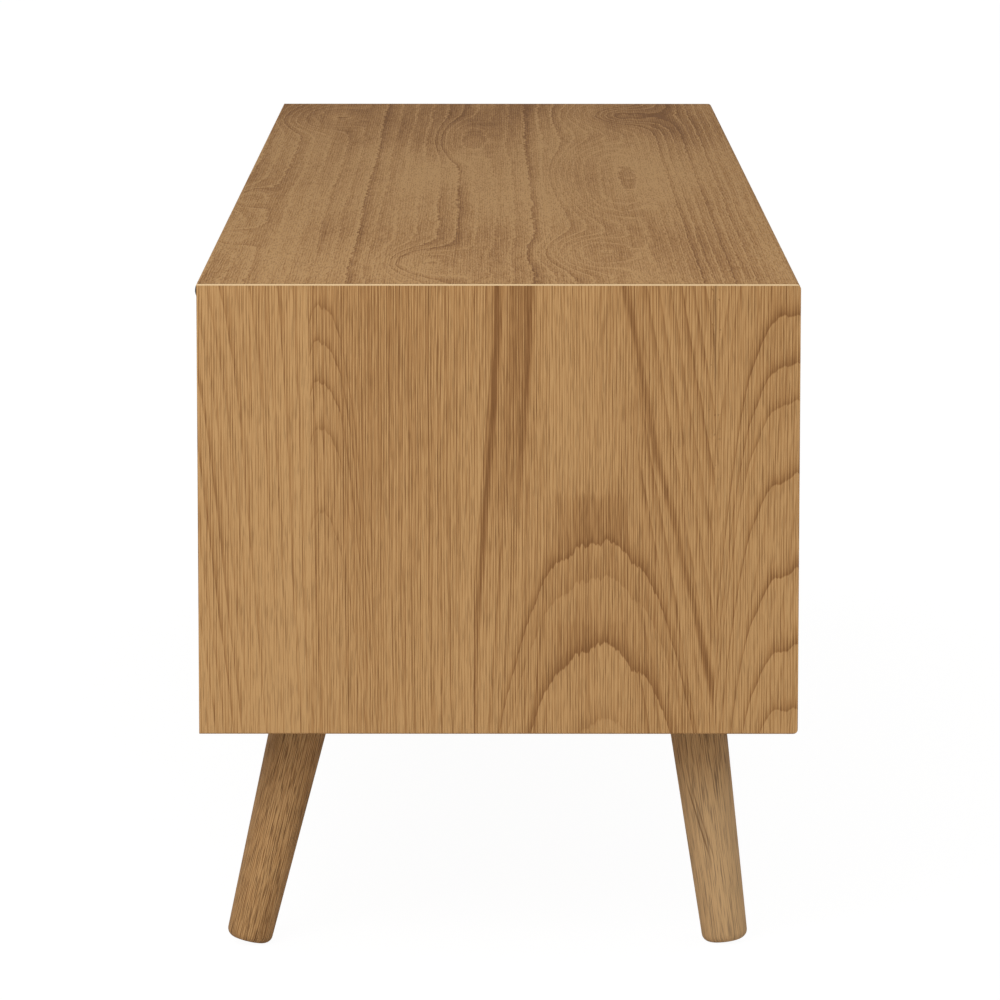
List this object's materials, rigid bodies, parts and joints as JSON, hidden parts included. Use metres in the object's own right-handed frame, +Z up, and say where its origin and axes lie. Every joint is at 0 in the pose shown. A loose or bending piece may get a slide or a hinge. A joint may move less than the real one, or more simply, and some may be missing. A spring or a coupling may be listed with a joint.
{
  "type": "media cabinet",
  "caption": "Low oak-veneered media cabinet on splayed round tapered legs, with hinged doors at both ends and an open niche over a drawer in the middle.",
  "frame": {"origin": "on the floor, under the middle of the overall box, knobs included", "axes": "+X along the cabinet towards its right-hand end as seen from the front, the front faces -Y, +Z up"},
  "size_m": [1.65, 0.426, 0.462],
  "materials": {
    "oak_veneer": "matt lacquered oak veneer",
    "oak_back_board": "thin oak-faced board",
    "solid_oak": "matt lacquered solid oak",
    "birch_plywood": "sealed birch plywood",
    "beech": "plain turned beech",
    "dark_bronze": "dark bronze finish, satin",
    "zinc_plated_steel": "bright zinc plating",
    "polished_steel": "polished",
    "brass": "satin",
    "nylon": "natural",
    "dark_plastic": "fine texture",
    "magnet": "dark sintered",
    "cast_aluminium": "dark powder-coated casting"
  },
  "bodies": {
    "case": {"back_panel_screws": "zinc_plated_steel", "bottom_panel": "oak_veneer", "cable_grommets": "dark_plastic", "carcass_dowels": "beech", "case_hardware_screws": "zinc_plated_steel", "case_pivot_plates": "brass", "case_rail_screws": "zinc_plated_steel", "catch_magnets": "magnet", "centre_back_panel": "oak_back_board", "door_catches": "dark_plastic", "front_left_leg": "solid_oak", "front_leg_plates": "cast_aluminium", "front_right_leg": "solid_oak", "hanger_bolts": "zinc_plated_steel", "left_back_panel": "oak_back_board", "left_end_panel": "oak_veneer", "left_partition": "oak_veneer", "left_shelf": "oak_veneer", "left_slide_case_rail": "zinc_plated_steel", "leg_plate_screws": "zinc_plated_steel", "mitre_splines": "birch_plywood", "niche_shelf": "oak_veneer", "pivot_washers": "nylon", "rear_left_leg": "solid_oak", "rear_leg_plates": "cast_aluminium", "rear_right_leg": "solid_oak", "right_back_panel": "oak_back_board", "right_end_panel": "oak_veneer", "right_partition": "oak_veneer", "right_shelf": "oak_veneer", "right_slide_case_rail": "zinc_plated_steel", "shelf_pins": "zinc_plated_steel", "top_panel": "oak_veneer"},
    "left_door": {"left_door": "oak_veneer", "left_door_knob": "dark_bronze", "left_knob_screw": "zinc_plated_steel", "left_door_pivot_leaves": "brass", "left_door_screws": "zinc_plated_steel", "left_door_strike": "zinc_plated_steel"},
    "right_door": {"right_door": "oak_veneer", "right_door_knob": "dark_bronze", "right_knob_screw": "zinc_plated_steel", "right_door_pivot_leaves": "brass", "right_door_screws": "zinc_plated_steel", "right_door_strike": "zinc_plated_steel"},
    "drawer": {"drawer_front": "oak_veneer", "drawer_left_side": "birch_plywood", "drawer_right_side": "birch_plywood", "drawer_back": "birch_plywood", "drawer_bottom": "birch_plywood", "drawer_dowels": "beech", "drawer_knob": "dark_bronze", "drawer_knob_screw": "zinc_plated_steel", "drawer_rail_screws": "zinc_plated_steel", "left_slide_drawer_rail": "zinc_plated_steel", "right_slide_drawer_rail": "zinc_plated_steel"},
    "left_slide_middle": {"left_slide_middle_rail": "zinc_plated_steel", "left_slide_balls": "polished_steel"},
    "right_slide_middle": {"right_slide_middle_rail": "zinc_plated_steel", "right_slide_balls": "polished_steel"}
  },
  "joints": [
    {"name": "left_door_hinge", "type": "hinge", "parent": "case", "child": "left_door", "pos_m": [-0.7945, -0.178, 0.311], "axis": [0, 0, -1], "range_deg": [0, 95]},
    {"name": "right_door_hinge", "type": "hinge", "parent": "case", "child": "right_door", "pos_m": [0.7945, -0.178, 0.311], "axis": [0, 0, 1], "range_deg": [0, 95]},
    {"name": "drawer_slide", "type": "slide", "parent": "case", "child": "drawer", "axis": [0, -1, 0], "range_m": [0, 0.3]},
    {"name": "left_slide_extension", "type": "slide", "parent": "case", "child": "left_slide_middle", "axis": [0, -1, 0], "range_m": [0, 0.15]},
    {"name": "right_slide_extension", "type": "slide", "parent": "case", "child": "right_slide_middle", "axis": [0, -1, 0], "range_m": [0, 0.15]}
  ],
  "couplings": [
    {"joint": "left_slide_extension", "follows": "drawer_slide", "ratio": 0.5},
    {"joint": "right_slide_extension", "follows": "drawer_slide", "ratio": 0.5}
  ]
}
